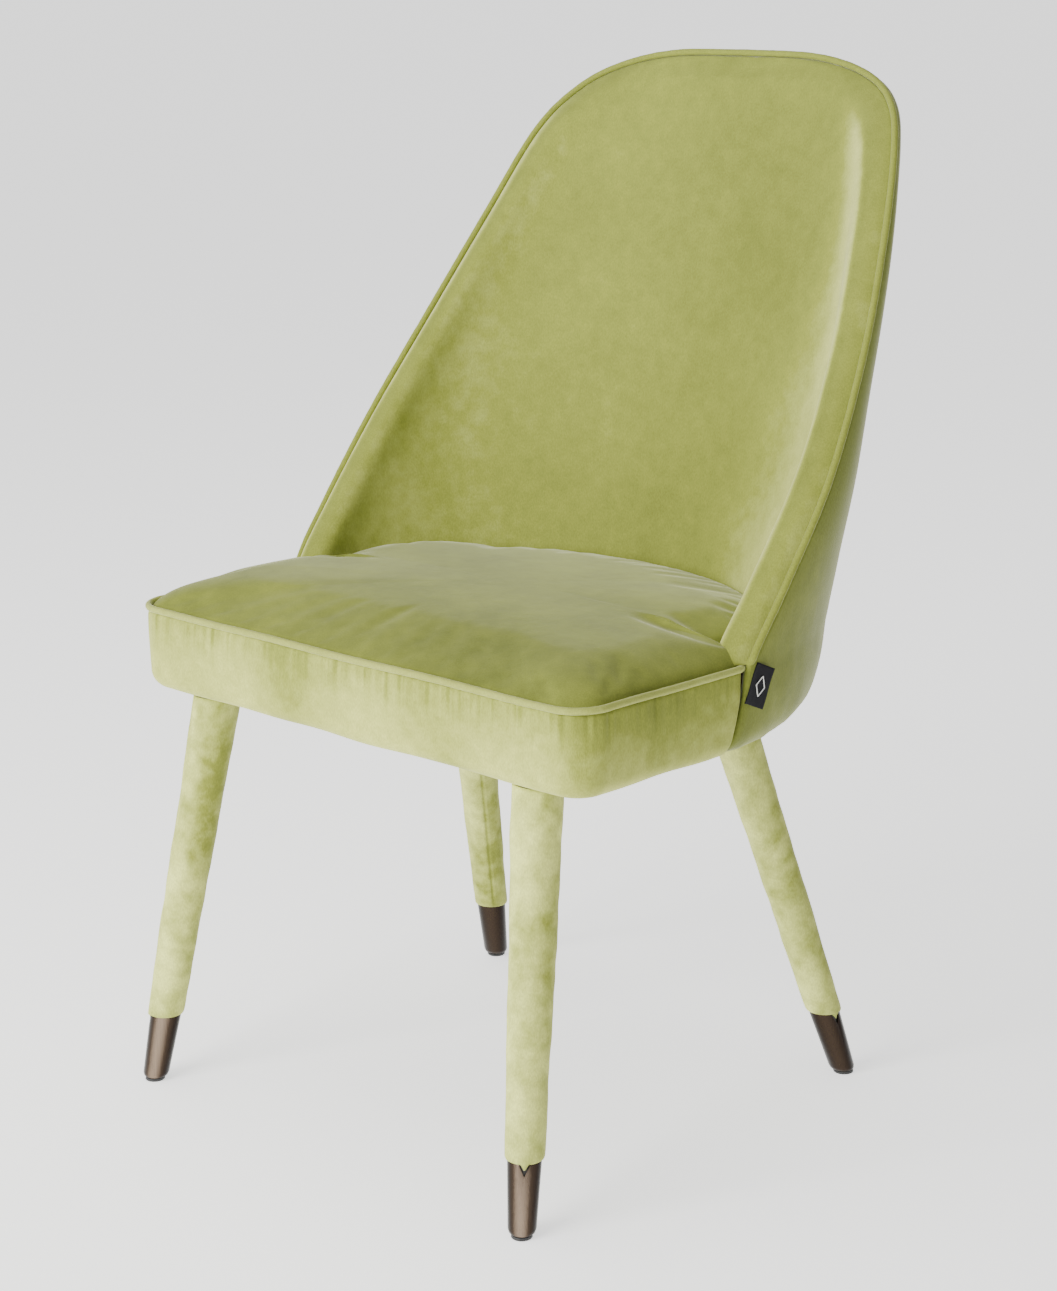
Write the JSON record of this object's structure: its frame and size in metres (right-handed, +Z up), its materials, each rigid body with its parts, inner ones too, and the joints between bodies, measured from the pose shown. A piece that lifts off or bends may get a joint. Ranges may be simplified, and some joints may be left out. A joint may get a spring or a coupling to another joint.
{
  "type": "dining chair",
  "caption": "Upholstered dining chair with a velvet tub back, piped seat and splayed fabric-sleeved legs with metal tips.",
  "frame": {"origin": "on the floor, at the middle of the bounding box's footprint", "axes": "+Z up, -Y the front and the way the sitter faces, +X to the right as seen from the front"},
  "size_m": [0.547, 0.5746, 0.8995],
  "materials": {
    "velvet": "short-pile cotton velvet, pistachio green, brushed sheen",
    "foam": "open-cell upholstery foam",
    "wadding": "white polyester wadding",
    "plywood": "moulded beech plywood, sanded",
    "beech": "planed beech, unfinished",
    "webbing": "woven elastic strap",
    "dust_cloth": "black non-woven underside cloth",
    "bronze": "dark antique bronze, satin, vertical brushing",
    "steel": "zinc-plated steel",
    "plastic": "black glide plastic",
    "label": "black woven tag with a plain white stitched lozenge"
  },
  "bodies": {
    "root": {"back_bolt_1": "steel", "back_bolt_2": "steel", "back_bolt_3": "steel", "back_bolt_4": "steel", "back_foam": "foam", "back_inside_cover": "velvet", "back_outside_cover": "velvet", "back_piping": "velvet", "back_shell": "plywood", "back_wadding": "wadding", "corner_block_front_left": "beech", "corner_block_front_right": "beech", "corner_block_rear_left": "beech", "corner_block_rear_right": "beech", "cross_rail": "beech", "dust_cover": "dust_cloth", "ferrule_front_left": "bronze", "ferrule_front_right": "bronze", "ferrule_rear_left": "bronze", "ferrule_rear_right": "bronze", "front_rail": "beech", "glide_front_left": "plastic", "glide_front_right": "plastic", "glide_rear_left": "plastic", "glide_rear_right": "plastic", "leg_core_front_left": "beech", "leg_core_front_right": "beech", "leg_core_rear_left": "beech", "leg_core_rear_right": "beech", "leg_sleeve_front_left": "velvet", "leg_sleeve_front_right": "velvet", "leg_sleeve_rear_left": "velvet", "leg_sleeve_rear_right": "velvet", "leg_stud_front_left": "steel", "leg_stud_front_right": "steel", "leg_stud_rear_left": "steel", "leg_stud_rear_right": "steel", "rear_bow_rail": "beech", "seat_border": "velvet", "seat_edge_padding": "wadding", "seat_foam": "foam", "seat_piping": "velvet", "seat_top_cover": "velvet", "side_label": "label", "side_rail_left": "beech", "side_rail_right": "beech", "strap_across_1": "webbing", "strap_across_2": "webbing", "strap_across_3": "webbing", "strap_lengthwise_1": "webbing", "strap_lengthwise_2": "webbing", "strap_lengthwise_3": "webbing", "stud_insert_front_left": "steel", "stud_insert_front_right": "steel", "stud_insert_rear_left": "steel", "stud_insert_rear_right": "steel"}
  },
  "joints": []
}
